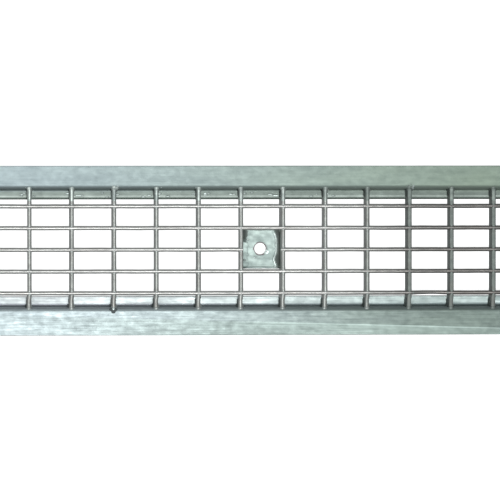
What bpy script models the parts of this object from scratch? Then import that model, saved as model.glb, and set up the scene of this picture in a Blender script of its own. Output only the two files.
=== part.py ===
"""Mesh grating for a narrow drainage channel: two folded steel rails, flat bars standing on edge between
them, round wires pressed flush into notches across the bars, and a bent bracket for the locking bolt.

Length runs along X, width along Y, and the walking surface faces +Z. The origin is on the underside, at
the middle of the grating's outline. Dimensions are in millimetres, and MM turns them into metres.
"""

import math

import bmesh
import bpy
from mathutils import Vector

MM = 0.001
GAP = 0.3  # left between two pieces that are welded together
QUARTER = math.pi / 2

# Overall
LENGTH = 500.0
WIDTH = 120.6
HEIGHT = 20.0

# Rails: sheet folded twice into a Z, with the flange at the top and the lip at the bottom
SHEET = 1.5
BEND_INSIDE = 1.5
BEND_STEPS = 6
BACK_WEB = 16.8  # from the flange's outer edge to the web's inner face
FRONT_WEB = 20.1
LIP = 7.6  # from the web's inner face to the lip's free edge

# Bars: flat bar on edge, standing on the lips, tops level with the flanges
BAR_COUNT = 16
BAR_PITCH = 30.0
BAR_THICKNESS = 3.0
BAR_BOTTOM = SHEET + GAP
BAR_CORNER = 1.6  # cut off the lower corners to clear the fold

# Wires, level with the bars' tops
WIRE_COUNT = 5
WIRE_PITCH = 15.4
WIRE_DIAMETER = 3.0
WIRE_SIDES = 16
WIRE_HEIGHT = HEIGHT - WIRE_DIAMETER / 2
WIRE_MIDDLE = 0.6  # the middle wire lies this far behind the middle of the outline
NOTCH_STEPS = 8

# Lock plate: sheet bent down along both sides into a bracket, set low between the two middle bars
PLATE_SHEET = 2.0
PLATE_TOP = 12.0
PLATE_BEND_INSIDE = 1.0
PLATE_SIDE = 8.0  # height of a bent-down side, from the plate's top
PLATE_BACK = 15.6
PLATE_FRONT = -13.1
BOLT_HOLE = 9.0
BOLT_HOLE_SIDES = 32
BOLT_PLACE = (-1.1, 1.1)

ZINC_LIGHT = (0.62, 0.68, 0.66, 1.0)
ZINC_DULL = (0.45, 0.50, 0.47, 1.0)


def clear_scene():
    for obj in list(bpy.data.objects):
        bpy.data.objects.remove(obj, do_unlink=True)


def zinc(name, colour, roughness):
    material = bpy.data.materials.new(name)
    material.use_nodes = True
    shader = material.node_tree.nodes["Principled BSDF"]
    shader.inputs["Base Color"].default_value = colour
    shader.inputs["Roughness"].default_value = roughness
    shader.inputs["Metallic"].default_value = 1.0
    return material


def add_object(name, mesh, material, location=(0.0, 0.0, 0.0)):
    """Link a node whose location is given in millimetres."""
    obj = bpy.data.objects.new(name, mesh)
    obj.location = Vector(location) * MM
    bpy.context.scene.collection.objects.link(obj)
    obj.data.materials.clear()
    obj.data.materials.append(material)
    return obj


def mesh_from(name, build):
    mesh = bpy.data.meshes.new(name)
    bm = bmesh.new()
    build(bm)
    bmesh.ops.recalc_face_normals(bm, faces=bm.faces[:])
    bm.to_mesh(mesh)
    bm.free()
    return mesh


def sweep(bm, geometry, step):
    """Move the new corners of an extrusion by a step in millimetres."""
    corners = [item for item in geometry if isinstance(item, bmesh.types.BMVert)]
    bmesh.ops.translate(bm, verts=corners, vec=Vector(step) * MM)


def extruded(name, outline, step):
    """Closed solid from an outline of 3-D points in millimetres, swept by a step."""

    def build(bm):
        face = bm.faces.new([bm.verts.new(Vector(point) * MM) for point in outline])
        sweep(bm, bmesh.ops.extrude_face_region(bm, geom=[face])["geom"], step)

    return mesh_from(name, build)


def arc(centre, radius, start, end, steps):
    """Points of an arc in a plane, both ends included."""
    angles = [start + (end - start) * i / steps for i in range(steps + 1)]
    return [(centre[0] + radius * math.cos(a), centre[1] + radius * math.sin(a)) for a in angles]


def fold_line(web):
    """Middle plane of a folded rail, as (distance in from the flange's edge, height)."""
    half = SHEET / 2
    radius = BEND_INSIDE + half
    middle = web - half
    upper = arc((middle - radius, HEIGHT - half - radius), radius, QUARTER, 0.0, BEND_STEPS)
    lower = arc((middle + radius, half + radius), radius, -math.pi, -QUARTER, BEND_STEPS)
    return [(0.0, HEIGHT - half), *upper, *lower, (web + LIP, half)]


def rail(name, web, side, material):
    """One rail as an open fold, thickened to a sheet; side is +1 at the back and -1 at the front."""
    line = [(-LENGTH / 2, side * (WIDTH / 2 - inset), height) for inset, height in fold_line(web)]

    def build(bm):
        corners = [bm.verts.new(Vector(point) * MM) for point in line]
        edges = [bm.edges.new(pair) for pair in zip(corners, corners[1:])]
        sweep(bm, bmesh.ops.extrude_edge_only(bm, edges=edges)["geom"], (LENGTH, 0.0, 0.0))

    mesh = mesh_from(name, build)
    mesh.shade_smooth()
    mesh.set_sharp_from_angle(angle=math.radians(30.0))
    thicken = add_object(name, mesh, material).modifiers.new("sheet", "SOLIDIFY")
    thicken.thickness = SHEET * MM
    thicken.offset = 0.0
    thicken.use_even_offset = True


def wire_places():
    """Distance of each long wire from the middle of the outline, back wire first."""
    middle = (WIRE_COUNT - 1) / 2
    return [WIRE_MIDDLE + (middle - i) * WIRE_PITCH for i in range(WIRE_COUNT)]


def bar_end(web, side):
    """Corners of one end of a bar, from the top down."""
    end = WIDTH / 2 - web - GAP
    corners = ((end, HEIGHT), (end, BAR_BOTTOM + BAR_CORNER), (end - BAR_CORNER, BAR_BOTTOM))
    return [(side * reach, height) for reach, height in corners]


def notch(place):
    """Seat of one wire in a bar's upper edge, from its back side to its front side."""
    radius = WIRE_DIAMETER / 2 + GAP
    seat = arc((place, WIRE_HEIGHT), radius, 0.0, -math.pi, NOTCH_STEPS)
    return [(place + radius, HEIGHT), *seat, (place - radius, HEIGHT)]


def bar_mesh(name):
    outline = list(reversed(bar_end(BACK_WEB, 1)))
    for place in wire_places():
        outline += notch(place)
    outline += bar_end(FRONT_WEB, -1)
    half = BAR_THICKNESS / 2
    return extruded(name, [(-half, y, z) for y, z in outline], (BAR_THICKNESS, 0.0, 0.0))


def bars(material):
    """Evenly spaced cross bars, and one more flush with each end of the rails."""
    mesh = bar_mesh("bar")
    for number in range(1, BAR_COUNT + 1):
        place = (number - (BAR_COUNT + 1) / 2) * BAR_PITCH
        add_object(f"cross_bar_{number:02d}", mesh, material, (place, 0.0, 0.0))
    end = (LENGTH - BAR_THICKNESS) / 2
    add_object("end_bar_left", mesh, material, (-end, 0.0, 0.0))
    add_object("end_bar_right", mesh, material, (end, 0.0, 0.0))


def rod_mesh(name, diameter, length, sides, axis):
    def build(bm):
        turn = Vector((0.0, 0.0, 1.0)).rotation_difference(Vector(axis)).to_matrix().to_4x4()
        bmesh.ops.create_cone(bm, cap_ends=True, segments=sides, radius1=diameter / 2 * MM,
                              radius2=diameter / 2 * MM, depth=length * MM, matrix=turn)

    mesh = mesh_from(name, build)
    mesh.shade_smooth()
    mesh.set_sharp_from_angle(angle=math.radians(40.0))
    return mesh


def long_wires(material):
    """Four wires run the whole length; the middle one stops at each side of the lock plate's bay."""
    along = (1.0, 0.0, 0.0)
    whole = rod_mesh("long_wire", WIRE_DIAMETER, LENGTH, WIRE_SIDES, along)
    bay = BAR_PITCH - BAR_THICKNESS
    half_length = (LENGTH - bay) / 2
    half = rod_mesh("half_wire", WIRE_DIAMETER, half_length, WIRE_SIDES, along)
    half_middle = (bay + half_length) / 2
    for number, place in enumerate(wire_places(), 1):
        if number != (WIRE_COUNT + 1) // 2:
            add_object(f"long_wire_{number}", whole, material, (0.0, place, WIRE_HEIGHT))
            continue
        add_object(f"long_wire_{number}_left", half, material, (-half_middle, place, WIRE_HEIGHT))
        add_object(f"long_wire_{number}_right", half, material, (half_middle, place, WIRE_HEIGHT))


def plate_section():
    """Outline of the bracket seen along Y, as (x, height): outside of the bends, then inside of them."""
    side = (BAR_PITCH - BAR_THICKNESS) / 2 - GAP
    outside = PLATE_BEND_INSIDE + PLATE_SHEET
    centre = (side - outside, PLATE_TOP - outside)
    foot = PLATE_TOP - PLATE_SIDE
    outer = [*arc(centre, outside, QUARTER, 0.0, BEND_STEPS), (side, foot)]
    inner = [(side - PLATE_SHEET, foot), *arc(centre, PLATE_BEND_INSIDE, 0.0, QUARTER, BEND_STEPS)]
    right = outer + inner
    return right + [(-x, height) for x, height in reversed(right)]


def lock_plate(material):
    depth = PLATE_BACK - PLATE_FRONT
    mesh = extruded("lock_plate", [(x, PLATE_FRONT, z) for x, z in plate_section()], (0.0, depth, 0.0))
    plate = add_object("lock_plate", mesh, material)
    drill = rod_mesh("bolt_hole", BOLT_HOLE, 3 * PLATE_SHEET, BOLT_HOLE_SIDES, (0.0, 0.0, 1.0))
    cutter = add_object("bolt_hole", drill, material, (*BOLT_PLACE, PLATE_TOP - PLATE_SHEET / 2))
    cutter.hide_render = True
    cutter.display_type = "WIRE"
    boolean = plate.modifiers.new("bolt hole", "BOOLEAN")
    boolean.operation = "DIFFERENCE"
    boolean.object = cutter


def main():
    clear_scene()
    rail_zinc = zinc("rail_zinc", ZINC_LIGHT, 0.42)
    wire_zinc = zinc("wire_zinc", ZINC_LIGHT, 0.35)
    bar_zinc = zinc("bar_zinc", ZINC_DULL, 0.45)
    plate_zinc = zinc("plate_zinc", ZINC_LIGHT, 0.5)
    rail("back_rail", BACK_WEB, 1, rail_zinc)
    rail("front_rail", FRONT_WEB, -1, rail_zinc)
    bars(bar_zinc)
    long_wires(wire_zinc)
    lock_plate(plate_zinc)


main()
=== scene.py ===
# %% [markdown]
# # A galvanised mesh grating
# This grating covers a narrow drainage channel. Two rails, each folded from sheet, hang on the channel's
# edges. Flat bars stand on edge between them, and round wires are pressed into notches across the bars.
# A small bracket in the middle takes the locking bolt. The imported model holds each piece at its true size,
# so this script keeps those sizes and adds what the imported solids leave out: the rounded, uneven skin that
# a bath of molten zinc leaves, the welds, and the zinc that gathers in every corner.

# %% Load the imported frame
import math
import random

import bmesh
import bpy
from mathutils import Matrix, Vector, noise


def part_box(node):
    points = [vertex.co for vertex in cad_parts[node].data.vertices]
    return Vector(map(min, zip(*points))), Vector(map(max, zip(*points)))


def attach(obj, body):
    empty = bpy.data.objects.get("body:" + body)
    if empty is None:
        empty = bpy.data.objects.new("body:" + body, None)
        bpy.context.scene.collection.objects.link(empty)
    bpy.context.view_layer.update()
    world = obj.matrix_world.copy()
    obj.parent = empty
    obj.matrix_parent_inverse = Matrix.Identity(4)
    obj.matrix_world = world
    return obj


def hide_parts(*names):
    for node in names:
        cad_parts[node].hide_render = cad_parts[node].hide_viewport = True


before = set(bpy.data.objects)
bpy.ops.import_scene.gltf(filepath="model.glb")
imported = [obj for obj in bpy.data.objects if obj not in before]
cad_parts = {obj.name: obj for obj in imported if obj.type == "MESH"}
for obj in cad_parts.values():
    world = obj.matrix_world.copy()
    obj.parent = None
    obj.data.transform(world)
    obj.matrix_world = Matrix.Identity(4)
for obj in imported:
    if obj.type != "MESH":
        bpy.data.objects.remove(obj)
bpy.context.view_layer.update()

# %% [markdown]
# ## Sizes
# Everything below is worked out in millimetres, because a grating is drawn in millimetres, and a mesh is
# turned into metres when it is made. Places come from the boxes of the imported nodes. A box doesn't say how
# thick a folded sheet is, so the sheet, its bend and its lip are named here.

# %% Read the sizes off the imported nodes
MM = 0.001
QUARTER = math.pi / 2


def corners(node):
    """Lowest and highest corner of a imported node, in millimetres."""
    low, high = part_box(node)
    return low / MM, high / MM


SHEET = 1.5
BEND_INSIDE = 1.5
LIP = 7.6
BAR_NAMES = [name for name in sorted(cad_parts) if "bar" in name]
WIRE_NAMES = [name for name in sorted(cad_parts) if "wire" in name]
TOP = corners("back_rail")[1].z
BAR_PLACES = sorted(sum(corner.x for corner in corners(name)) / 2 for name in BAR_NAMES)
WIRE_PLACES = sorted({round(sum(corner.y for corner in corners(name)) / 2, 3) for name in WIRE_NAMES})
wire_low, wire_high = corners(WIRE_NAMES[0])
WIRE_HEIGHT = (wire_low.z + wire_high.z) / 2
WIRE_RADIUS = (wire_high.z - wire_low.z) / 2
print("bars at", [round(place, 1) for place in BAR_PLACES])
print("wires at", WIRE_PLACES, "and", WIRE_HEIGHT, "high")

# %% [markdown]
# ## From rings to a skin
# Nearly every piece here is long, with a section that changes little along it. So a piece is lofted: a ring
# of points is laid at each station along the piece, quads join each ring to the next, and a lid closes each
# end. A modifier such as Bevel could round a plain block instead, but a loft also puts points all along the
# piece, and the uneven zinc needs them.

# %% Lay rings of points and join them
def loft(rings, closed=False):
    """A shell of points and faces; a closed loft joins its last ring to its first and needs no lids."""
    count = len(rings[0])
    points = [point for ring in rings for point in ring]
    faces = []
    for number in range(len(rings) if closed else len(rings) - 1):
        near = number * count
        far = (number + 1) % len(rings) * count
        for i in range(count):
            j = (i + 1) % count
            faces.append((near + i, near + j, far + j, far + i))
    if not closed:
        faces.append(tuple(reversed(range(count))))
        faces.append(tuple(range(len(points) - count, len(points))))
    return points, faces


def together(shells):
    """Several shells as one list of points and one of faces."""
    points, faces = [], []
    for more_points, more_faces in shells:
        start = len(points)
        points += more_points
        faces += [tuple(start + i for i in face) for face in more_faces]
    return points, faces


def moved(shell, place, flip=(1, 1, 1)):
    """A copy of a shell at a place; a flip of -1 turns that direction over."""
    points, faces = shell
    return [tuple(p * f + m for p, f, m in zip(point, flip, place)) for point in points], faces


def steps(start, end, count):
    """Evenly spaced values, both ends included."""
    return [start + (end - start) * i / count for i in range(count + 1)]


def mesh_of(name, shell, scale):
    mesh = bpy.data.meshes.new(name)
    points, faces = shell
    mesh.from_pydata([Vector(point) * scale for point in points], [], faces)
    bm = bmesh.new()
    bm.from_mesh(mesh)
    bmesh.ops.recalc_face_normals(bm, faces=bm.faces[:])
    bm.to_mesh(mesh)
    bm.free()
    return mesh


# %% [markdown]
# ## The uneven skin
# A zinc coat is about a tenth of a millimetre thick, and it is never level. It runs off along the steel as
# the piece is lifted out of the bath. Each point of a piece is therefore sunk by a little, by smooth noise
# whose lumps are longer along the piece than across it. The points only sink, so no piece grows past its
# true size.

# %% Let the skin settle, and hang a finished piece on the frame
def settle(mesh, depth, lump):
    """Sink a mesh's points by up to a depth, in lumps of a size along X, Y and Z, all in millimetres."""
    outward = [vertex.normal.copy() for vertex in mesh.vertices]
    for vertex, direction in zip(mesh.vertices, outward):
        spot = Vector(c / MM / size for c, size in zip(vertex.co, lump))
        level = 0.5 + 0.5 * noise.noise(spot)
        vertex.co -= direction * depth * MM * level


def patch(mesh, finish, inside):
    """Give a finish to the faces whose middle, in millimetres, lies inside a region."""
    mesh.materials.append(finish)
    for face in mesh.polygons:
        if inside(*(face.center / MM)):
            face.material_index = len(mesh.materials) - 1


def add_piece(name, coats, slot, *nodes, skin=((0.1, (40, 4, 4)),), patches=()):
    """Make a piece from pairs of a shell and its finish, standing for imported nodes."""
    mesh = mesh_of(name, together([shell for shell, _ in coats]), MM)
    start = 0
    for number, (shell, finish) in enumerate(coats):
        mesh.materials.append(finish)
        for face in mesh.polygons[start:start + len(shell[1])]:
            face.material_index = number
        start += len(shell[1])
    for finish, inside in patches:
        patch(mesh, finish, inside)
    for depth, lump in skin:
        settle(mesh, depth, lump)
    mesh.shade_smooth()
    mesh.set_sharp_from_angle(angle=math.radians(50))
    piece = bpy.data.objects.new(name, mesh)
    bpy.context.scene.collection.objects.link(piece)
    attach(piece, "root")
    if nodes:
        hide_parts(*nodes)
    print(name, len(mesh.vertices), "points")
    return piece


# %% [markdown]
# ## Writing a finish
# A finish is a tree of shader nodes. Sums on numbers read best as sums, so a small class wraps a node's
# output and turns +, - and * into Math nodes. Every other node comes from one method that takes the kind of
# node, its settings and its sockets.

# %% A reading and the bath that it is taken from
class Reading:
    """A number or colour leaving a node, which Python's operators can work on."""

    def __init__(self, bath, socket):
        self.bath = bath
        self.socket = socket

    def sum(self, operation, first, second):
        return self.bath.node("ShaderNodeMath", {"operation": operation}, {0: first, 1: second})

    def __add__(self, other):
        return self.sum("ADD", self, other)

    def __sub__(self, other):
        return self.sum("SUBTRACT", self, other)

    def __rsub__(self, other):
        return self.sum("SUBTRACT", other, self)

    def __mul__(self, other):
        return self.sum("MULTIPLY", self, other)

    __radd__ = __add__
    __rmul__ = __mul__


class Bath:
    """The node tree of one finish."""

    def __init__(self, name):
        self.finish = bpy.data.materials.new(name)
        self.finish.use_nodes = True
        self.tree = self.finish.node_tree
        self.shader = self.tree.nodes["Principled BSDF"]

    def feed(self, socket, value):
        if isinstance(value, Reading):
            self.tree.links.new(value.socket, socket)
        else:
            socket.default_value = value

    def node(self, kind, settings=None, sockets=None, out=0):
        made = self.tree.nodes.new(kind)
        for setting, value in (settings or {}).items():
            setattr(made, setting, value)
        for key, value in (sockets or {}).items():
            self.feed(made.inputs[key], value)
        return Reading(self, made.outputs[out])

    def lumps(self, where, size, detail):
        """Smooth noise from 0 to 1, in lumps of a size along X, Y and Z in millimetres."""
        metres = [length * MM for length in size]
        scaled = self.node("ShaderNodeVectorMath", {"operation": "DIVIDE"}, {0: where, 1: metres})
        return self.node("ShaderNodeTexNoise", None, {"Vector": scaled, "Scale": 1.0, "Detail": detail})

    def rise(self, value, start, end):
        """0 before start, 1 after end, and a smooth slope between."""
        ends = {"Value": value, "From Min": start, "From Max": end}
        return self.node("ShaderNodeMapRange", {"interpolation_type": "SMOOTHSTEP"}, ends)

    def past(self, place, start, end):
        """0 before start and 1 after end, for a place in millimetres."""
        return self.rise(place, start * MM, end * MM)

    def between(self, place, start, full, fading, end):
        """1 from full to fading, and 0 outside start and end, for a place in millimetres."""
        return self.past(place, start, full) * (1 - self.past(place, fading, end))

    def axis(self, where, letter):
        return self.node("ShaderNodeSeparateXYZ", None, {0: where}, out=letter)

    def mixed(self, amount, low, high):
        """One colour turning into another as amount goes from 0 to 1."""
        return self.node("ShaderNodeMix", {"data_type": "RGBA"}, {0: amount, 6: low, 7: high}, out=2)


# %% [markdown]
# ## The zinc finish
# Hot-dip zinc is pale when new, and dulls to a grey-green. On this grating each finish is lighter at one
# end and darker at the other, along X. Close up it shows faint crystals, a few millimetres wide, under
# cloudy patches, with fine streaks along the metal. Each of those is its own noise, added up into one tone
# that chooses between a light and a dark colour. The same tone makes the dull patches rougher, and a bump
# lets them catch the light.

# %% Colours that darken and age
def grade(colour, share=1.0):
    """A colour scaled to a share of itself."""
    return tuple(channel * share for channel in colour) + (1.0,)


def shaded(colour, share):
    """A colour darkened to a share of itself, with a little more left in the blue."""
    red, green, blue = colour
    return grade((red * 0.96, green, blue * 1.02), share)


def aged(bath, age, colours, shares=(1.0, 1.0)):
    """A colour that goes from the first of two, at the clean end, to the second, at the dull end."""
    clean, dull = (grade(colour, share) for colour, share in zip(colours, shares))
    return bath.mixed(age, clean, dull)


# %% Mix a zinc finish
CLOUD = (46, 11, 11)
STREAK = (30, 1.1, 1.1)
MOTTLE = (5, 3.2, 3.2)
GRAIN = (0.7, 0.7, 0.7)
CRYSTALS_PER_METRE = 220.0
BROWN = (0.27, 0.235, 0.21)
BROWN_PATCH = (22, 12, 12)
BUMP_HEIGHT = 0.12


def zinc_coat(name, clean, dull, streaks=1.0, clouds=1.0, roughness=0.45, metal=0.55, fades=(-90, 110),
              browning=0.0, matting=0.0, touch_up=None):
    """A zinc finish that goes from its clean colour to its dull one between two places along X, in mm."""
    bath = Bath(name)
    where = bath.node("ShaderNodeTexCoord", out="Object")
    cloud = bath.lumps(where, CLOUD, 3)
    streak = bath.lumps(where, STREAK, 4)
    mottle = bath.lumps(where, MOTTLE, 5)
    grain = bath.lumps(where, GRAIN, 3)
    scale = {0: where, "Scale": CRYSTALS_PER_METRE}
    cells = bath.node("ShaderNodeVectorMath", {"operation": "SCALE"}, scale)
    crystal = bath.node("ShaderNodeTexVoronoi", None, {"Vector": cells, "Scale": 1.0}, out="Color")
    tone = 0.62 + (cloud - 0.5) * 0.8 * clouds + (streak - 0.5) * streaks + (mottle - 0.5) * 0.8 * clouds
    tone = tone + (crystal - 0.5) * 0.14 + (grain - 0.5) * 0.25
    age = bath.past(bath.axis(where, "X"), *fades) + (cloud - 0.5) * 0.3
    light = aged(bath, age, (clean, dull))
    dark = bath.mixed(age, shaded(clean, 0.60), shaded(dull, 0.66))
    colour = bath.mixed(tone, dark, light)
    if browning:
        patchy = bath.rise(bath.lumps(where, BROWN_PATCH, 3), 0.48, 0.66)
        colour = bath.mixed(patchy * browning, colour, grade(BROWN))
    if touch_up:
        colour = touch_up(bath, where, colour, tone, age)
    bath.feed(bath.shader.inputs["Base Color"], colour)
    bath.feed(bath.shader.inputs["Roughness"], roughness + (0.6 - tone) * 0.14 + age * matting)
    bath.feed(bath.shader.inputs["Metallic"], metal)
    height = mottle * 0.5 + streak * 0.35 + grain * 0.2
    relief = {"Strength": 0.6, "Distance": BUMP_HEIGHT * MM, "Height": height}
    bump = bath.node("ShaderNodeBump", None, relief)
    bath.feed(bath.shader.inputs["Normal"], bump)
    print("finish", name, len(bath.tree.nodes), "nodes")
    return bath.finish


# %% [markdown]
# ## Finishes for each piece
# One recipe serves the whole grating, but the pieces didn't come out of the bath alike. The front rail is
# the whitest. A second run of zinc crosses its flange at a slight slope, with a bright edge, and its lip
# stayed bright. The back rail is greyer, and standing water has dulled its lip. The places below are in
# millimetres. A band of four fades in between its first two places and out between its last two.

# %% Colour the front rail
RUN_START = (-31, -49.8)
RUN_SLOPE = -0.028
RUN_EDGE = (-0.3, 0.6)
RUN_BEGINS = (-250, -10)
RUN_DULLS = (-180, 140)
RUN_COLOURS = ((0.49, 0.59, 0.58), (0.31, 0.395, 0.36))
CREST_BAND = (-0.5, 0.1, 0.3, 1.0)
CREST_BEGINS = (-20, 30)
CREST_COLOUR = (0.48, 0.60, 0.56)
FRONT_LIP = (-39.2, -38.4)
FRONT_LIP_LIGHT = ((0.78, 0.84, 0.84), (0.62, 0.73, 0.71))
FRONT_LIP_DARK = ((0.50, 0.55, 0.57), (0.32, 0.40, 0.39))
SCRATCH = (9, 0.6, 0.6)
SCRATCH_COLOUR = (0.24, 0.29, 0.29)
FRONT_FOLD = (-41.8, -40.4, -38.5, -37.7)
FOLD_FOOT = (3.0, 5.0)
SHOULDER = (17.2, 18.0, 18.6, 19.5)
FRONT_FOLD_SHADE = ((0.40, 0.43, 0.47), (0.27, 0.34, 0.34))


def front_run(bath, where, colour, tone, age):
    """Colour the second run and its crest, the lip and the scratches, and paint shade into both folds."""
    along, across, height = [bath.axis(where, letter) for letter in "XYZ"]
    edge = (along - RUN_START[0] * MM) * RUN_SLOPE + RUN_START[1] * MM
    past_edge = edge - across
    outside = bath.past(past_edge, *RUN_EDGE) * bath.past(along, *RUN_BEGINS)
    distance = bath.past(along, *RUN_DULLS)
    run_dark = aged(bath, distance, RUN_COLOURS, (0.62, 0.74))
    ran = bath.mixed(outside, colour, bath.mixed(tone, run_dark, aged(bath, distance, RUN_COLOURS)))
    crest = bath.between(past_edge, *CREST_BAND) * bath.past(along, *CREST_BEGINS)
    ran = bath.mixed(crest * 0.7, ran, grade(CREST_COLOUR))
    lip = bath.mixed(tone, aged(bath, age, FRONT_LIP_DARK), aged(bath, age, FRONT_LIP_LIGHT))
    ran = bath.mixed(bath.past(across, *FRONT_LIP), ran, lip)
    scratch = bath.rise(bath.lumps(where, SCRATCH, 2), 0.60, 0.68) * (1 - age)
    ran = bath.mixed(scratch * 0.5, ran, grade(SCRATCH_COLOUR))
    # Painted shade: the fold at the foot of the web and the shoulder of the upper bend are darkened.
    corner = bath.between(across, *FRONT_FOLD) * (1 - bath.past(height, *FOLD_FOOT))
    fold_shade = corner + bath.between(height, *SHOULDER) * 0.85
    return bath.mixed(fold_shade, ran, aged(bath, age, FRONT_FOLD_SHADE))


RAIL_FRONT = zinc_coat("rail_zinc_front", (0.62, 0.72, 0.74), (0.22, 0.28, 0.25), streaks=1.0, clouds=1.1,
                       roughness=0.44, fades=(-190, 150), touch_up=front_run)

# %% Colour the back rail
BACK_LIP = (41.0, 43.0)
BACK_LIP_COLOURS = ((0.36, 0.43, 0.395), (0.27, 0.33, 0.295))
BACK_FOLD = (41.0, 42.8, 43.8, 46.2)
BACK_FOLD_SHADE = ((0.20, 0.25, 0.25), (0.29, 0.36, 0.31))
LIP_BEAD = (37.6, 38.0, 38.6, 39.1)
BEAD_HIGHLIGHT = (0.60, 0.68, 0.64)
CUT_EDGE = (37.0, 37.8)
CUT_EDGE_SHADE = (0.08, 0.105, 0.09)


def back_lip(bath, where, colour, tone, age):
    """Dull the lip where water stands; paint shade in the fold and cut edge and a highlight on the bead."""
    across = bath.axis(where, "Y")
    lip_dark = aged(bath, age, BACK_LIP_COLOURS, (0.66, 0.66))
    lip = bath.mixed(tone, lip_dark, aged(bath, age, BACK_LIP_COLOURS))
    colour = bath.mixed(1 - bath.past(across, *BACK_LIP), colour, lip)
    # Painted shade: the lower fold, the web and the upper bend are darkened as one band.
    in_fold = bath.between(across, *BACK_FOLD)
    colour = bath.mixed(in_fold * 0.8, colour, aged(bath, age, BACK_FOLD_SHADE))
    # Painted highlight: a light line stands for a zinc bead along the lip, which has no shape of its own.
    bead = bath.between(across, *LIP_BEAD)
    colour = bath.mixed(bead * (0.2 + tone * 0.6), colour, grade(BEAD_HIGHLIGHT))
    # Painted shade: the lip's rounded cut edge is darkened.
    cut_edge_shade = 1 - bath.past(across, *CUT_EDGE)
    return bath.mixed(cut_edge_shade * 0.9, colour, grade(CUT_EDGE_SHADE))


RAIL_BACK = zinc_coat("rail_zinc_back", (0.48, 0.58, 0.60), (0.31, 0.395, 0.315), streaks=0.35, clouds=0.7,
                      roughness=0.48, fades=(-240, 210), touch_up=back_lip)

# %% [markdown]
# The bars and wires are darker than the rails, browned in patches, and dull at one end. The zinc in their
# corners froze brighter, and drops that fell on the cold steel later are nearly white; the near-white also
# paints the highlight along the lock plate's folded ridge. The torch scorched a few places black or brown,
# and the black also paints shadow beside the welds and round a drop. A thin coat shows grey, and the grey
# also paints shade on the lock plate.

# %% The finishes of the bars, the wires and the lock plate
BAR_ZINC = zinc_coat("bar_zinc", (0.62, 0.64, 0.605), (0.295, 0.33, 0.305), streaks=0.4, roughness=0.40,
                     metal=0.6, fades=(50, 115), browning=0.25, matting=0.16)
WIRE_ZINC = zinc_coat("wire_zinc", (0.71, 0.71, 0.68), (0.27, 0.26, 0.245), streaks=0.4, clouds=0.9,
                      roughness=0.36, metal=0.75, fades=(40, 125), browning=0.2)
JOINT_ZINC = zinc_coat("joint_zinc", (0.63, 0.68, 0.65), (0.35, 0.40, 0.37), streaks=0.3, clouds=1.3,
                       roughness=0.38, metal=0.6, fades=(50, 115), matting=0.12)
PLATE_ZINC = zinc_coat("plate_zinc", (0.56, 0.68, 0.64), (0.50, 0.60, 0.56), streaks=0.25, clouds=1.6,
                       roughness=0.46)
FRESH_ZINC_AND_HIGHLIGHT = zinc_coat("fresh_zinc_and_painted_highlight", (0.86, 0.97, 0.93), (0.74, 0.84, 0.80), streaks=0.2, clouds=0.5,
                       roughness=0.36)
THIN_COAT_AND_SHADE = zinc_coat("bare_steel", (0.34, 0.39, 0.36), (0.28, 0.32, 0.30), streaks=0.3, clouds=1.5,
                       roughness=0.55, metal=0.3)
SCORCH_AND_SHADOW = zinc_coat("scorch_and_painted_shadow", (0.13, 0.155, 0.155), (0.11, 0.135, 0.125), streaks=0.3, clouds=1.2,
                     roughness=0.55, metal=0.3)
END_ZINC = zinc_coat("bar_end_zinc", (0.76, 0.85, 0.80), (0.33, 0.385, 0.35), streaks=0.3, clouds=2.4,
                     roughness=0.40, metal=0.6, fades=(-20, 110), matting=0.16)
BURNT_EDGE = zinc_coat("burnt_edge", (0.34, 0.28, 0.29), (0.30, 0.25, 0.25), streaks=0.2, clouds=0.8,
                       roughness=0.50, metal=0.3)

# %% [markdown]
# ## The rails
# Each rail is one strip of sheet, folded twice into a Z. The flange rests on the channel's edge, the web
# hangs down, and the lip turns in to carry the bars. The section follows the sheet's middle plane, where a
# fold has its true radius, and then steps out by half the sheet on each side. The cut edges are rounded over,
# because zinc beads along an edge.

# %% Draw the rail's section
SKIN_ROOM = 0.05
FLANGE_STEPS = 14
BEND_STEPS = 8
WEB_STEPS = 6


def fold_line(web):
    """Middle plane of a rail: (distance in from the edge, height, and the direction of the upper face)."""
    half = SHEET / 2
    radius = BEND_INSIDE + half
    middle = web - half
    start = half + SKIN_ROOM
    line = [(inset, TOP - half, 0.0, 1.0) for inset in steps(start, middle - radius, FLANGE_STEPS)]
    for angle in steps(QUARTER, 0.0, BEND_STEPS)[1:]:
        x, z = math.cos(angle), math.sin(angle)
        line.append((middle - radius + radius * x, TOP - half - radius + radius * z, x, z))
    upright = steps(TOP - half - radius, half + radius, WEB_STEPS)
    line += [(middle, height, 1.0, 0.0) for height in upright[1:]]
    for angle in steps(math.pi, math.pi + QUARTER, BEND_STEPS)[1:]:
        x, z = math.cos(angle), math.sin(angle)
        line.append((middle + radius + radius * x, half + radius + radius * z, -x, -z))
    end = web + LIP - half - SKIN_ROOM
    return line + [(inset, half, 0.0, 1.0) for inset in steps(middle + radius, end, WEB_STEPS)[1:]]


def round_edge(line_end, start, power):
    """Points over a cut edge, turning clockwise from an angle; a power under 1 squares the half circle."""
    half = SHEET / 2 - SKIN_ROOM
    edge = []
    for angle in steps(start, start - math.pi, BEND_STEPS)[1:-1]:
        out = math.copysign(abs(math.cos(angle)) ** power, math.cos(angle))
        up = math.copysign(abs(math.sin(angle)) ** power, math.sin(angle))
        edge.append((line_end[0] + half * out, line_end[1] + half * up))
    return edge


def rail_section(web):
    line = fold_line(web)
    half = SHEET / 2 - SKIN_ROOM
    upper = [(x + nx * half, z + nz * half) for x, z, nx, nz in line]
    lower = [(x - nx * half, z - nz * half) for x, z, nx, nz in reversed(line)]
    return upper + round_edge(line[-1], QUARTER, 1.0) + lower + round_edge(line[0], -QUARTER, 0.4)


def web_reach(node):
    """Distance from a rail's outer edge to its web's inner face."""
    low, high = corners(node)
    return high.y - low.y - LIP


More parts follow.
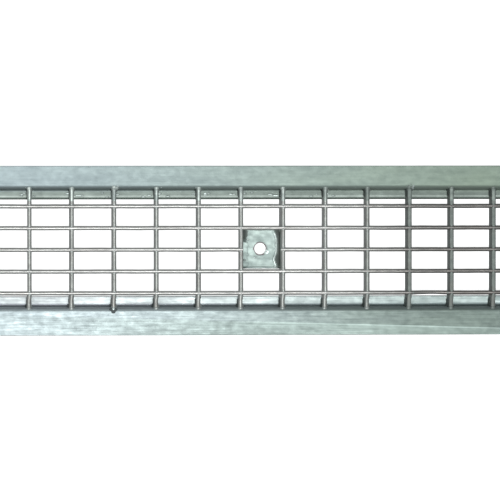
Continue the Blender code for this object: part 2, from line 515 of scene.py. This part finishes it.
print(len(rail_section(web_reach("back_rail"))), "points round a rail")

# %% [markdown]
# Small pips of zinc stand on any galvanised face, where a drop froze before it could run off. They are flat
# eggs, sunk most of the way into the sheet, scattered by a seeded draw, so they fall in the same places each
# time.

# %% Shape an egg of zinc
def egg(centre, radii, sides=14, rows=8):
    """An egg-shaped shell: rings from its lower pole to its upper one."""
    rings = []
    for tilt in steps(-QUARTER * 0.96, QUARTER * 0.96, rows):
        ring = []
        for turn in range(sides):
            angle = 2 * math.pi * turn / sides
            unit = (math.cos(tilt) * math.cos(angle), math.cos(tilt) * math.sin(angle), math.sin(tilt))
            ring.append(tuple(c + r * u for c, r, u in zip(centre, radii, unit)))
        rings.append(ring)
    return loft(rings)


def pips(low, high, height, count, seed):
    """Pips scattered over a strip, each standing a little proud of the face."""
    draw = random.Random(seed)
    made = []
    for _ in range(count):
        size = draw.uniform(0.5, 1.1)
        x = draw.uniform(low.x + 8, high.x - 8)
        y = draw.uniform(low.y, high.y)
        made.append(egg((x, y, height - 0.38), (size * draw.uniform(1, 2.2), size, 0.35)))
    return together(made)


# %% Fold both rails
DARK_DROP_AT = -136.5
DARK_DROP = (0.9, 0.5, 0.42)
RAIL_STATIONS = 280
FROM_EDGE = 1.5


def add_rail(node, side, finish, count, seed):
    low, high = corners(node)
    edge = high.y if side > 0 else -low.y
    web = web_reach(node)
    section = rail_section(web)
    stations = steps(low.x + SKIN_ROOM, high.x - SKIN_ROOM, RAIL_STATIONS)
    shell = loft([[(x, side * (edge - inset), height) for inset, height in section] for x in stations])
    inner = edge - web + SHEET + BEND_INSIDE
    strip = sorted((side * (edge - FROM_EDGE), side * (inner + FROM_EDGE)))
    scatter = pips(Vector((low.x, strip[0], 0)), Vector((high.x, strip[1], 0)), TOP, count, seed)
    coats = [(shell, finish), (scatter, finish)]
    if side > 0:
        coats.append((egg((DARK_DROP_AT, high.y - 0.58, TOP - 0.47), DARK_DROP), THIN_COAT_AND_SHADE))
    skin = ((0.10, (38, 4, 4)), (0.05, (7, 2, 2)))
    return add_piece("galvanised_" + node, coats, "rail_zinc", node, skin=skin)


add_rail("back_rail", 1, RAIL_BACK, count=16, seed=3)
front_rail = add_rail("front_rail", -1, RAIL_FRONT, count=22, seed=8)

# %% [markdown]
# The second run of zinc on the front flange stopped along a sloping line, and left a low ridge there. It is
# too small to be its own piece, so the flange's own points are lifted along the line.

# %% Raise the edge of the second run
RIDGE_WIDTH = 0.5
RIDGE_HEIGHT = 0.05
RIDGE_BEGINS = -60
RIDGE_FULL = 20


def raise_run(mesh):
    """Lift the flange's points near the line, and count them."""
    lifted = 0
    for vertex in mesh.vertices:
        x, y, z = vertex.co / MM
        begun = min(max((x - RIDGE_BEGINS) / (RIDGE_FULL - RIDGE_BEGINS), 0.0), 1.0)
        off = (y - RUN_START[1] - (x - RUN_START[0]) * RUN_SLOPE) / RIDGE_WIDTH
        if z > TOP - SHEET / 2 and abs(off) < 4:
            vertex.co.z += RIDGE_HEIGHT * MM * begun * math.exp(-off * off)
            lifted += 1
    return lifted


print(raise_run(front_rail.data), "points near the ridge")

# %% [markdown]
# ## Zinc in the corners
# Where a wire crosses a bar, or a bar meets a rail, molten zinc is held in the corner and freezes there as a
# hollow fillet. Such a shape is hard to draw and easy to grow: short stubs of the two pieces are fused into
# one skin by a voxel remesh, and a few rounds of smoothing fill the inside corners and pull in everything
# else. What still stands out of the bar and the wire is the fillet.

# %% Grow a fillet
def block(low, high):
    rings = []
    for x in (low[0], high[0]):
        rings.append([(x, low[1], low[2]), (x, high[1], low[2]), (x, high[1], high[2]), (x, low[1], high[2])])
    return loft(rings)


def rod(start, end, y, z, radius, sides=20):
    rings = []
    for x in (start, end):
        turns = [2 * math.pi * i / sides for i in range(sides)]
        rings.append([(x, y + radius * math.cos(a), z + radius * math.sin(a)) for a in turns])
    return loft(rings)


def flow_together(shells, cell, rounds, keep):
    """Fuse shells that overlap, and fill the corners between them."""
    raw = bpy.data.objects.new("raw", mesh_of("raw", together(shells), 1.0))
    bpy.context.scene.collection.objects.link(raw)
    fuse = raw.modifiers.new("fuse", "REMESH")
    fuse.mode = "VOXEL"
    fuse.voxel_size = cell
    fill = raw.modifiers.new("fill", "SMOOTH")
    fill.factor = 0.5
    fill.iterations = rounds
    raw.modifiers.new("thin", "DECIMATE").ratio = keep
    graph = bpy.context.evaluated_depsgraph_get()
    grown = bpy.data.meshes.new_from_object(raw.evaluated_get(graph), depsgraph=graph)
    bpy.data.objects.remove(raw)
    return [tuple(vertex.co) for vertex in grown.vertices], [tuple(face.vertices) for face in grown.polygons]


# %% [markdown]
# A bar's section is needed first, because the fillets grow on it. It is flat steel on edge, and its zinc has
# rounded the top well over and the foot a little.

# %% Draw a bar's section
BAR_HALF = 1.58
BAR_TOP = TOP - 0.25
TOP_ROUND = 1.5
FOOT_ROUND = 0.4


def bar_ring(place, y, low, top, lean, half=BAR_HALF, rounding=TOP_ROUND):
    """Section across a bar: well rounded on top by the zinc, and less so at the foot, which leans aside."""
    right = []
    for angle in steps(QUARTER, 0.0, 5):
        x = half - rounding + rounding * math.cos(angle)
        right.append((x, top - rounding + rounding * math.sin(angle)))
    right += [(half, height) for height in steps(top - rounding, low + FOOT_ROUND, 5)[1:-1]]
    for angle in steps(0.0, -QUARTER, 3):
        x = half - FOOT_ROUND + FOOT_ROUND * math.cos(angle)
        right.append((x, low + FOOT_ROUND + FOOT_ROUND * math.sin(angle)))
    left = [(-x, height) for x, height in reversed(right)]
    return [(place + x + lean * (TOP - height) / TOP, y, height) for x, height in right + left]


print(len(bar_ring(0.0, 0.0, SHEET, BAR_TOP, 0.0)), "points round a bar")

# %% Grow the crossings
UNDER = 0.1
STUB_HALF = 1.5


def bar_stub(back, front, low):
    """A short length of bar, a little under the true skin."""
    top = BAR_TOP - UNDER
    return loft([bar_ring(0.0, y, low, top, 0.0, half=STUB_HALF) for y in (front, back)])


def crossing(seed, left=3.6, right=3.6):
    """Zinc held where a wire crosses a bar, round a point at the crossing and at height 0."""
    draw = random.Random(seed)
    bar = bar_stub(4, -4, WIRE_HEIGHT - 4)
    wire = rod(-left, right, 0, WIRE_HEIGHT, WIRE_RADIUS - UNDER - 0.05)
    place = (draw.uniform(-0.4, 0.4), draw.uniform(-0.4, 0.4), WIRE_HEIGHT)
    drop = egg(place, (draw.uniform(1.3, 1.9), draw.uniform(1.3, 1.8), 1.38))
    return flow_together([bar, wire, drop], cell=0.28, rounds=9, keep=0.4)


CROSSINGS = [crossing(seed) for seed in range(5)]
ENDING_RIGHT = crossing(11, right=1.4)
ENDING_LEFT = crossing(12, left=1.4)
print([len(shell[1]) for shell in CROSSINGS], "faces in the crossings")

# %% [markdown]
# The end of a bar is welded to the web down both of its sides, and it is grown the same way: a stub of the
# bar, a slice of the web and of the lip, and a run of weld down each corner, with a lump on top where the
# welder stopped.

# %% Grow the welds at a bar's end
SLICE = 4.5


def end_weld(seed, lump, inner_only=False):
    """Weld round a bar's end, whose web stands at Y 0 with the bar on its negative side."""
    draw = random.Random(seed)
    half = BAR_HALF - UNDER
    bar = bar_stub(0.6, -5, SHEET - 0.5)
    reach = half if inner_only else SLICE
    web = block((-SLICE, 0.25, 4.0), (reach, 1.15, TOP - 4.5))
    lip = block((-SLICE, -6.0, 0.4), (reach, -1.0, SHEET - 0.15))
    runs = []
    for side in (-1,) if inner_only else (-1, 1):
        for height in steps(4.0, TOP - 3.2, 7):
            size = draw.uniform(0.55, 1.35)
            runs.append(egg((side * half, -0.05 - 0.4 * size, height), (size, size, 1.3)))
    place = (draw.uniform(-0.3, 0.3), 0.7 + lump, TOP - 1.25 - lump)
    top = egg(place, (1.75 + lump, 1.5 + lump, 1.2 + lump))
    return flow_together([bar, web, lip, top, *runs], cell=0.34, rounds=3, keep=0.4)


WELDS = [end_weld(seed, 0.25) for seed in (21, 22, 23)]
BIG_WELD = end_weld(24, 0.95)
END_WELD = end_weld(25, 0.0, inner_only=True)
print([len(shell[1]) for shell in WELDS], "faces in the welds")

# %% [markdown]
# ## The bars
# A bar is flat steel on edge, with five round notches in its top. The loft runs across the channel, so the
# section is a rounded rectangle at each station, and the notches are made by lowering its top edge. Stations
# crowd together at a notch and follow the circle of the wire in it. The bars at the dull end have less zinc
# on them, so their tops are flatter. All but the end bars have been pushed over a little in front of the
# front wire, and a few lean at the foot.

# %% Loft a bar
BACK_WEB = corners("back_rail")[0].y + LIP
FRONT_WEB = corners("front_rail")[1].y - LIP
DULL_FROM = 90
DULL_TOP_ROUND = 0.8
BAR_FOOT = SHEET + 0.05
CORNER = 1.6
PUSHED = -0.45
PUSHED_OVER = 5
LEANING = {-135: -0.35, -105: -0.2, -15: 0.45, 15: -0.6, 105: -0.3}
BAR_STATIONS = 90


def is_end_bar(place):
    return place in (BAR_PLACES[0], BAR_PLACES[-1])


def bar_outline(back, front):
    """Pairs of a station across the channel and the bar's top there, from front to back."""
    reach = WIRE_RADIUS + 0.02
    outline = [(y, BAR_TOP) for y in steps(front, back, BAR_STATIONS)]
    outline = [(y, top) for y, top in outline if all(abs(y - wire) > reach + 0.1 for wire in WIRE_PLACES)]
    for wire in WIRE_PLACES:
        outline += [(wire - reach - 0.03, BAR_TOP), (wire + reach + 0.03, BAR_TOP)]
        for angle in steps(math.pi, 2 * math.pi, 10):
            outline.append((wire + reach * math.cos(angle), WIRE_HEIGHT + reach * math.sin(angle)))
    return sorted(outline)


def aside(place, y):
    """How far a bar has been pushed over at a place along it: only in front of the front wire."""
    if is_end_bar(place):
        return 0.0
    return PUSHED * min(1.0, max(0.0, (WIRE_PLACES[0] - y) / PUSHED_OVER))


def bar_shell(place, back, front):
    lean = LEANING.get(round(place), 0.0)
    rounding = DULL_TOP_ROUND if place > DULL_FROM else TOP_ROUND
    rings = []
    for y, top in bar_outline(back, front):
        from_end = min(back - y, y - front)
        low = BAR_FOOT + max(0.0, CORNER - from_end)
        rings.append(bar_ring(place + aside(place, y), y, low, top, lean, rounding=rounding))
    return loft(rings)


print(len(bar_outline(BACK_WEB, FRONT_WEB)), "stations along a bar")

# %% [markdown]
# Drips hang where zinc ran to the lowest edge and froze. A drip is a small egg stretched downwards, and a bar
# has two or three along its foot. They stay above the underside of the lips.

# %% Hang the drips and choose the zinc at a crossing
def drips(place, back, front, draw):
    made = []
    for _ in range(draw.randint(2, 3)):
        y = draw.uniform(front + 10, back - 10)
        made.append(egg((place, y, BAR_FOOT + 0.1), (draw.uniform(0.5, 0.9), draw.uniform(0.7, 1.3), 1.2)))
    return together(made)


def crossing_at(number, place, wire):
    """The right piece of corner zinc for a crossing, which is cut short where a wire ends."""
    beside_plate = abs(wire - WIRE_PLACES[2]) < 1 and abs(abs(place) - 15) < 1
    if beside_plate or is_end_bar(place):
        stops_right = place < 0 if beside_plate else place > 0
        return moved(ENDING_RIGHT if stops_right else ENDING_LEFT, (place, wire, 0))
    flip = (1, 1, 1) if number % 2 else (-1, -1, 1)
    return moved(CROSSINGS[number % len(CROSSINGS)], (place, wire, 0), flip)


# %% [markdown]
# At two bars the welder piled up more metal than the corner could hold, and it stands over the back fold in
# knobs. At one of them a drop hangs over the front fold, and a dark ring round it is painted shadow. Such
# lumps are too big for the fold, so whatever would come out underneath is lifted.

# %% Pile up the big welds
BIG_AT_BACK = (-105, 105)
BIG_AT_FRONT = (-105,)
KNOBS = ((-0.9, 2.6, 1.7), (-0.2, 0.2, 1.7), (1.7, 1.3, 1.7), (2.8, 2.4, 1.2), (1.0, 3.4, 1.3))
SINK = 0.15


def kept_in_sheet(shell, web, side):
    """Lift what would hang through the folded sheet back into it."""
    points, faces = shell
    lifted = []
    for x, y, z in points:
        past = side * (y - web)
        if past > SHEET - SINK:
            rest = max(0.0, SHEET + BEND_INSIDE - past)
            inside = math.sqrt(max(0.0, BEND_INSIDE * BEND_INSIDE - rest * rest))
            z = max(z, TOP - SHEET - BEND_INSIDE + inside + SINK)
        lifted.append((x, y, z))
    return lifted, faces


def cluster(place, web, side):
    """Knobs of zinc piled over a bar's end, each standing in the fold and reaching up to the flange."""
    knobs = []
    for over, past, size in KNOBS:
        knobs.append(egg((place + over, web + side * past, TOP - 0.03 - size), (size, size, size)))
    return kept_in_sheet(together(knobs), web, side)


def drop_on_flange(place, web, side):
    """One drop that hangs over the fold onto the flange, and a dark ring round it that is painted shadow."""
    ring = egg((place - 0.7, web + side * 2.6, TOP - 0.52), (3.3, 3.0, 0.5))
    drop = egg((place - 0.6, web + side * 1.5, TOP - 1.21), (2.1, 2.8, 1.2))
    return [kept_in_sheet(shell, web, side) for shell in (ring, drop)]


# %% Throw the spatter
CLEAN_TO = 60


def fold_height(past):
    """Height of the fold's outside, at a distance past the web's inner face."""
    radius = SHEET + BEND_INSIDE
    rest = max(0.0, radius - past)
    return TOP - radius + math.sqrt(radius * radius - rest * rest)


def spatter(place, draw):
    """Specks thrown by the welding onto the back fold near a bar, and onto the lip at the clean end."""
    specks = []
    for _ in range(4):
        size = draw.uniform(0.3, 0.6)
        past = draw.uniform(0.8, 4.0)
        x = place + draw.uniform(-3.5, 3.5)
        height = fold_height(past) - SINK - size / 2
        specks.append(egg((x, BACK_WEB + past, height), (size, size, size / 2)))
    for _ in range(4):
        size = draw.uniform(0.4, 0.85)
        x = place + draw.choice((-1, 1)) * draw.uniform(2.2, 9.0)
        y = BACK_WEB - draw.uniform(2.5, LIP - 2.0)
        if place < CLEAN_TO:
            specks.append(egg((x, y, SHEET - 0.12), (2.5 * size, size, 0.3)))
    return together(specks)


# %% [markdown]
# Each bar is put together from its shell, the zinc in its corners, its drips and its spatter. Two areas get
# another finish: the top of its back end, daubed with fresh zinc after welding, and the left flank beside
# each weld, darkened partly as the torch's scorch and partly as painted shadow.

# %% Add every bar
END_ROOM = 0.1
BRIGHT_REACH = 8.5
BRIGHT_DEPTH = 1.6
DARK_FLANK_AT_FRONT = 6.3
DARK_FLANK_AT_BACK = (-6, 0.6)
DARK_FLANK_BESIDE = (-3.3, -0.9)


def stopped_at(shell, end):
    """Flatten what reaches past an end of the grating, as the other grating it butts against needs."""
    points, faces = shell
    nearer = min if end > 0 else max
    return [(nearer(x, end), y, z) for x, y, z in points], faces


def add_bar(node, number):
    low, high = corners(node)
    place = (low.x + high.x) / 2
    draw = random.Random(100 + number)
    shell = bar_shell(place, BACK_WEB - 0.05, FRONT_WEB + 0.05)
    held = [crossing_at(3 * number + i, place, wire) for i, wire in enumerate(WIRE_PLACES)]
    back = BIG_WELD if round(place) in BIG_AT_BACK else draw.choice(WELDS)
    front = BIG_WELD if round(place) in BIG_AT_FRONT else draw.choice(WELDS)
    inward = 1
    if is_end_bar(place):
        back = front = END_WELD
        inward = 1 if place > 0 else -1
    held.append(kept_in_sheet(moved(back, (place, BACK_WEB, 0), (inward, 1, 1)), BACK_WEB, 1))
    front_place = (place + aside(place, FRONT_WEB), FRONT_WEB, 0)
    held.append(kept_in_sheet(moved(front, front_place, (inward, -1, 1)), FRONT_WEB, -1))
    held.append(drips(place, BACK_WEB, FRONT_WEB, draw))
    coats = [(shell, BAR_ZINC), (together(held), JOINT_ZINC), (spatter(place, draw), FRESH_ZINC_AND_HIGHLIGHT)]
    if round(place) in BIG_AT_BACK:
        coats.append((cluster(place, BACK_WEB, 1), FRESH_ZINC_AND_HIGHLIGHT))
    if round(place) in BIG_AT_FRONT:
        # The dark ring is painted shadow cast by the drop.
        ring, drop = drop_on_flange(place, FRONT_WEB, -1)
        coats += [(ring, SCORCH_AND_SHADOW), (drop, FRESH_ZINC_AND_HIGHLIGHT)]
    if is_end_bar(place):
        outer = high.x - END_ROOM if place > 0 else low.x + END_ROOM
        coats = [(stopped_at(shell, outer), finish) for shell, finish in coats]

    def bright_end(x, y, z):
        """The top of the back end, with a ragged edge."""
        ragged = 1.2 * noise.noise(Vector((x, place, 3)))
        near_weld = y > BACK_WEB - BRIGHT_REACH + ragged
        return near_weld and z > TOP - BRIGHT_DEPTH and abs(x - place) < 1.9

    def scorched_and_shaded_flank(x, y, z):
        """The left flank near either weld: partly the torch's scorch, partly painted shadow."""
        by_weld = y < FRONT_WEB + DARK_FLANK_AT_FRONT or DARK_FLANK_AT_BACK[0] < y - BACK_WEB < DARK_FLANK_AT_BACK[1]
        beside = DARK_FLANK_BESIDE[0] < x - aside(place, y) - place < DARK_FLANK_BESIDE[1]
        return by_weld and beside and SHEET + 0.5 < z < TOP - 2.0

    return add_piece("galvanised_" + node, coats, "bar_zinc", node, skin=((0.05, (5, 12, 6)),),
                     patches=[(END_ZINC, bright_end), (SCORCH_AND_SHADOW, scorched_and_shaded_flank)])


for number, node in enumerate(BAR_NAMES):
    add_bar(node, number)

# %% [markdown]
# ## The wires
# A wire is drawn rod, so it is nearly straight, but it is held only at the bars. Between them it wanders by a
# tenth of a millimetre, and the zinc on it is thicker in some places than in others. The wander is noise
# multiplied by a hump that is zero at each bar. In one bay the front wire has been knocked down and thinned.

# %% Loft the wires
PITCH = 30.0
KNOCKED = (107, 133)


def hump(x):
    """0 at each bar and 1 half way between two of them."""
    return abs(math.cos(math.pi * x / PITCH))


def knock(x):
    start, end = KNOCKED
    share = (x - start) / (end - start)
    return math.sin(math.pi * share) if 0 < share < 1 else 0.0


def wire_ring(x, y, seed, knocked, sides=18):
    free = hump(x)
    swell = 0.07 * noise.noise(Vector((x / 6, seed, 0)))
    bent = knock(x) if knocked else 0.0
    radius = WIRE_RADIUS + 0.04 + swell - 0.2 * bent
    y = y + free * 0.14 * noise.noise(Vector((x / 25, seed, 5))) + 0.3 * bent
    z = WIRE_HEIGHT - 0.06 - free * 0.1 * (1 + noise.noise(Vector((x / 20, seed, 9)))) - 0.4 * bent
    turns = [2 * math.pi * i / sides for i in range(sides)]
    return [(x, y + radius * math.cos(a), z + (radius - 0.1) * math.sin(a)) for a in turns]


def add_wire(node, seed):
    low, high = corners(node)
    y = (low.y + high.y) / 2
    knocked = y < WIRE_PLACES[1] - 1
    count = round((high.x - low.x) / 1.5)
    rings = [wire_ring(x, y, seed, knocked) for x in steps(low.x + 0.1, high.x - 0.1, count)]
    return add_piece("galvanised_" + node, [(loft(rings), WIRE_ZINC)], "wire_zinc", node,
                     skin=((0.04, (3, 1, 1)),))


for seed, node in enumerate(WIRE_NAMES):
    add_wire(node, 1.7 * seed)

# %% [markdown]
# ## The lock plate
# A fitter makes this bracket by cutting a flat blank, drilling it, and folding both sides down. The mesh is
# made the same way. Rings of points spread from the bolt hole to the blank's edge and come back underneath,
# so the blank is one closed skin with the hole in it. Then every point past a fold line is turned down round
# the fold. The right fold wanders, and a bead of zinc stands along it, round the hole and along the edges.

# %% Lay out the blank and fold it
plate_low, plate_high = corners("lock_plate")
PLATE_SHEET = 2.0
FOLD_MIDDLE = 2.0
HOLE_RADIUS = 4.05
HOLE = (-1.1, 1.1)
FOLD_AT = plate_high.x - FOLD_MIDDLE - PLATE_SHEET / 2
SIDE_DROP = plate_high.z - plate_low.z - FOLD_MIDDLE - PLATE_SHEET / 2
BLANK_REACH = FOLD_AT + FOLD_MIDDLE * QUARTER + SIDE_DROP


def fold_place(y, side):
    """Distance of a fold line from the middle; the right one bows in at the back and again near the front."""
    if side < 0:
        return FOLD_AT - 0.1
    back_bow = 2.4 * max(0.0, (y - 6) / 8.5) ** 2
    front_bow = 1.7 * math.exp(-((y + 6.5) / 3.4) ** 2)
    return FOLD_AT + 0.35 - back_bow - front_bow


def folded(s, y, out):
    """Where a point of the blank goes: s across it, y along the fold, out from its middle plane."""
    side = 1 if s > 0 else -1
    start = fold_place(y, side)
    middle = plate_high.z - PLATE_SHEET / 2
    bend = plate_high.x - PLATE_SHEET / 2 - start
    past = abs(s) - start
    if past <= 0:
        return (s, y, middle + out)
    turn = past / bend
    if turn < QUARTER:
        reach = bend + out
        return (side * (start + reach * math.sin(turn)), y, middle - bend + reach * math.cos(turn))
    drop = past - bend * QUARTER
    return (side * (start + bend + out), y, middle - bend - drop)


def blank_reach(angle):
    """Distance from the hole's centre to the blank's edge in one direction, with its corners rounded."""
    x, y = math.cos(angle), math.sin(angle)
    across = (BLANK_REACH - HOLE[0] if x > 0 else BLANK_REACH + HOLE[0]) / max(abs(x), 1e-6)
    along = (plate_high.y - HOLE[1] if y > 0 else HOLE[1] - plate_low.y) / max(abs(y), 1e-6)
    return (across ** -14 + along ** -14) ** (-1 / 14)


# %% Build the plate with its hole
RAYS = 144
EDGE_TUCK = 0.5


def zinc_bead(distance, width, height):
    return height * math.exp(-((distance / width) ** 2))


def blank_ring(share, upper, tuck):
    """One ring of the blank, at a share of the way from the hole to the edge, above or below."""
    ring = []
    for number in range(RAYS):
        angle = 2 * math.pi * number / RAYS
        reach = blank_reach(angle)
        away = HOLE_RADIUS + (reach - HOLE_RADIUS) * share
        s = HOLE[0] + away * math.cos(angle)
        y = HOLE[1] + away * math.sin(angle)
        y = y + 0.25 * share ** 6 * noise.noise(Vector((s / 3, share, 4)))
        out = PLATE_SHEET / 2 - tuck
        if upper:
            out += zinc_bead(reach - away - 0.7, 0.7, 0.22)
            out += zinc_bead(away - HOLE_RADIUS - 0.5, 0.5, 0.12)
            out += zinc_bead(s - fold_place(y, s) + 0.3, 0.6, 0.3)
            out += 0.12 * noise.noise(Vector((s / 4, y / 4, 2)))
        ring.append(folded(s, y, out if upper else -out))
    return ring


ACROSS = [0.02, 0.04, 0.07, *steps(0.1, 0.94, 44), 0.96, 0.98, 0.99]
outward = [(0.0, EDGE_TUCK), *[(share, 0.0) for share in ACROSS], (1.0, EDGE_TUCK)]
upper = [blank_ring(share, True, tuck) for share, tuck in outward]
lower = [blank_ring(share, False, tuck) for share, tuck in reversed(outward)]
plate_shell = loft(upper + lower, closed=True)
print(len(plate_shell[1]), "faces on the plate")

# %% [markdown]
# On its left side the groove between the bracket and the bar filled with zinc, level with the plate, except
# at the back corner. The pool is a loft along the bar, with an uneven surface. Lumps of clean zinc stand on
# the plate, and two tacks hold its right side to the bar there. A flat drop lies at the hole's edge, and the
# torch has burnt the hole's rim brown.

# %% Fill the left groove
POOL_BACK = 7.2


def pool():
    """Zinc level with the plate from the bar's side to past the fold, deepest against the bar."""
    rings = []
    wall = plate_low.x - 0.4
    front = plate_low.y + 0.1
    for y in steps(front, POOL_BACK, 60):
        share = math.sqrt(min(1.0, max(0.03, min(POOL_BACK - y, y - front) / 1.4)))
        level = plate_high.z - 2.2 * (1 - share) + 0.16 * noise.noise(Vector((y / 1.8, 3, 1)))
        edge = -FOLD_AT + 1.0 + 0.9 * noise.noise(Vector((y / 2.2, 8, 2)))
        foot = level - 0.5 - 3.4 * share
        section = [(wall, foot), (wall + 2.6, foot + 1.2), (edge, level - 0.5), (edge - 0.3, level + 0.03),
                   (edge - 1.1, level + 0.12), ((wall + edge) / 2, level + 0.12),
                   (wall + 0.9, level + 0.14), (wall, level + 0.2)]
        rings.append([(x, y, z) for x, z in section])
    return loft(rings)


groove = pool()
print(len(groove[1]), "faces on the pool")

# %% Place the lumps and the tacks
LUMPS = [
    ((-12.2, -7.0, 0.3), (1.0, 1.0, 0.9)),
    ((9.6, -11.7, 0.05), (1.3, 0.8, 0.4)),
    ((-9.9, 7.6, 0.05), (1.0, 0.8, 0.35)),
    ((-4.8, -5.2, -0.1), (1.1, 0.7, 0.3)),
]
TACKS = [
    ((13.1, 14.2, -2.6), (0.9, 1.6, 1.2)),
    ((13.1, -11.8, -3.0), (0.9, 1.4, 1.3)),
]
lumps = together([egg((x, y, plate_high.z + up), radii) for (x, y, up), radii in LUMPS + TACKS])
print(len(LUMPS), "lumps and", len(TACKS), "tacks")

# %% Finish the plate
def right_side_shade(x, y, z):
    """The side past the right fold, where it turns down beside the bar, darkened as painted shade."""
    return x > fold_place(y, 1) + 0.9 + 0.3 * noise.noise(Vector((y / 1.5, 0, 7)))


def back_corner_shade(x, y, z):
    """The open stretch of the left groove, with a ragged edge, darkened as painted shade."""
    edge = -9.9 - max(0.0, 11 - y) * 0.5 + 0.5 * noise.noise(Vector((x, y, 1)))
    return x < edge and y > POOL_BACK + 0.3


def ridge_highlight(x, y, z):
    """The crest of the bead along the right fold, painted near-white as a highlight."""
    half_width = 0.6 + 0.35 * noise.noise(Vector((y / 2, 3, 7)))
    return abs(x - fold_place(y, 1) - 0.15) < half_width and y < 12


def round_hole(x, y, z):
    """The rim of the hole, burnt brown by the torch."""
    return math.hypot(x - HOLE[0], y - HOLE[1]) < HOLE_RADIUS + 0.75


def on_drop(x, y, z):
    """A flat drop of clean zinc at the hole's edge."""
    return math.hypot((x - 3.0) / 1.9, (y + 1.1) / 1.4) < 1


# Painted light on the plate: highlight on the ridge, shade on the turned-down side and the back corner.
coats = [(plate_shell, PLATE_ZINC), (groove, PLATE_ZINC), (lumps, FRESH_ZINC_AND_HIGHLIGHT)]
patches = [(FRESH_ZINC_AND_HIGHLIGHT, ridge_highlight), (THIN_COAT_AND_SHADE, right_side_shade), (THIN_COAT_AND_SHADE, back_corner_shade),
           (BURNT_EDGE, round_hole), (FRESH_ZINC_AND_HIGHLIGHT, on_drop)]
add_piece("galvanised_lock_plate", coats, "plate_zinc", "lock_plate", skin=((0.06, (2, 2, 2)),),
          patches=patches)

# %% [markdown]
# ## Floor, light and camera
# The grating lies on a plain white floor, which gives off a little light of its own so that it stays white
# between the bars. The light stands close beside the camera, high above, because the tops of the bars should
# be bright and their sides dark. A wide, weak light from the left and an even grey sky soften the rest.

# %% Lay the floor
FLOOR_REACH = 4000
FLOOR_GLOW = 0.85


def add_floor():
    bath = Bath("pale_floor")
    bath.feed(bath.shader.inputs["Base Color"], (0.9, 0.9, 0.9, 1.0))
    bath.feed(bath.shader.inputs["Roughness"], 0.8)
    bath.feed(bath.shader.inputs["Emission Color"], (1.0, 1.0, 1.0, 1.0))
    bath.feed(bath.shader.inputs["Emission Strength"], FLOOR_GLOW)
    outline = [(x * FLOOR_REACH, y * FLOOR_REACH, 0) for x, y in ((-1, -1), (1, -1), (1, 1), (-1, 1))]
    mesh = mesh_of("floor", (outline, [(0, 1, 2, 3)]), MM)
    mesh.materials.append(bath.finish)
    floor = bpy.data.objects.new("floor", mesh)
    floor.location.z = -0.5 * MM
    floor.visible_diffuse = False
    floor.visible_glossy = False
    bpy.context.scene.collection.objects.link(floor)


add_floor()

# %% Place the lights
def add_light(name, place, size, watts):
    """A round lamp at a place in metres, turned towards the middle of the grating."""
    data = bpy.data.lights.new(name, "AREA")
    data.shape = "DISK"
    data.size = size
    data.energy = watts
    light = bpy.data.objects.new(name, data)
    light.location = place
    light.rotation_euler = (-Vector(place)).to_track_quat("-Z", "Y").to_euler()
    bpy.context.scene.collection.objects.link(light)
    print(name, watts, "W")


add_light("lamp_by_the_camera", (-0.05, -0.15, 3.05), size=0.3, watts=24.0)
add_light("wide_lamp_on_the_left", (-1.3, -0.9, 1.7), size=1.4, watts=3.0)
world = bpy.data.worlds.new("even_sky")
world.use_nodes = True
sky = world.node_tree.nodes["Background"].inputs
sky["Color"].default_value = (0.95, 0.98, 1.0, 1.0)
sky["Strength"].default_value = 0.33
bpy.context.scene.world = world

# %% Set the camera
CAMERA_PLACE = (-0.1663, 0.0773, 3.074)
CAMERA_AIM = (-0.0087, 0.00036, 0.02)
CAMERA_UP = (0.0005, 1.0, 0.0)
ahead = (Vector(CAMERA_AIM) - Vector(CAMERA_PLACE)).normalized()
right = ahead.cross(Vector(CAMERA_UP)).normalized()
camera_data = bpy.data.cameras.new("camera")
camera_data.lens = 310.4
camera_data.clip_end = 100.0
camera = bpy.data.objects.new("camera", camera_data)
camera.matrix_world = Matrix((right, right.cross(ahead), -ahead)).transposed().to_4x4()
camera.location = CAMERA_PLACE
bpy.context.scene.collection.objects.link(camera)
bpy.context.scene.camera = camera
bpy.context.scene.view_settings.view_transform = "Standard"
print("camera", round((Vector(CAMERA_AIM) - Vector(CAMERA_PLACE)).length, 3), "m away")
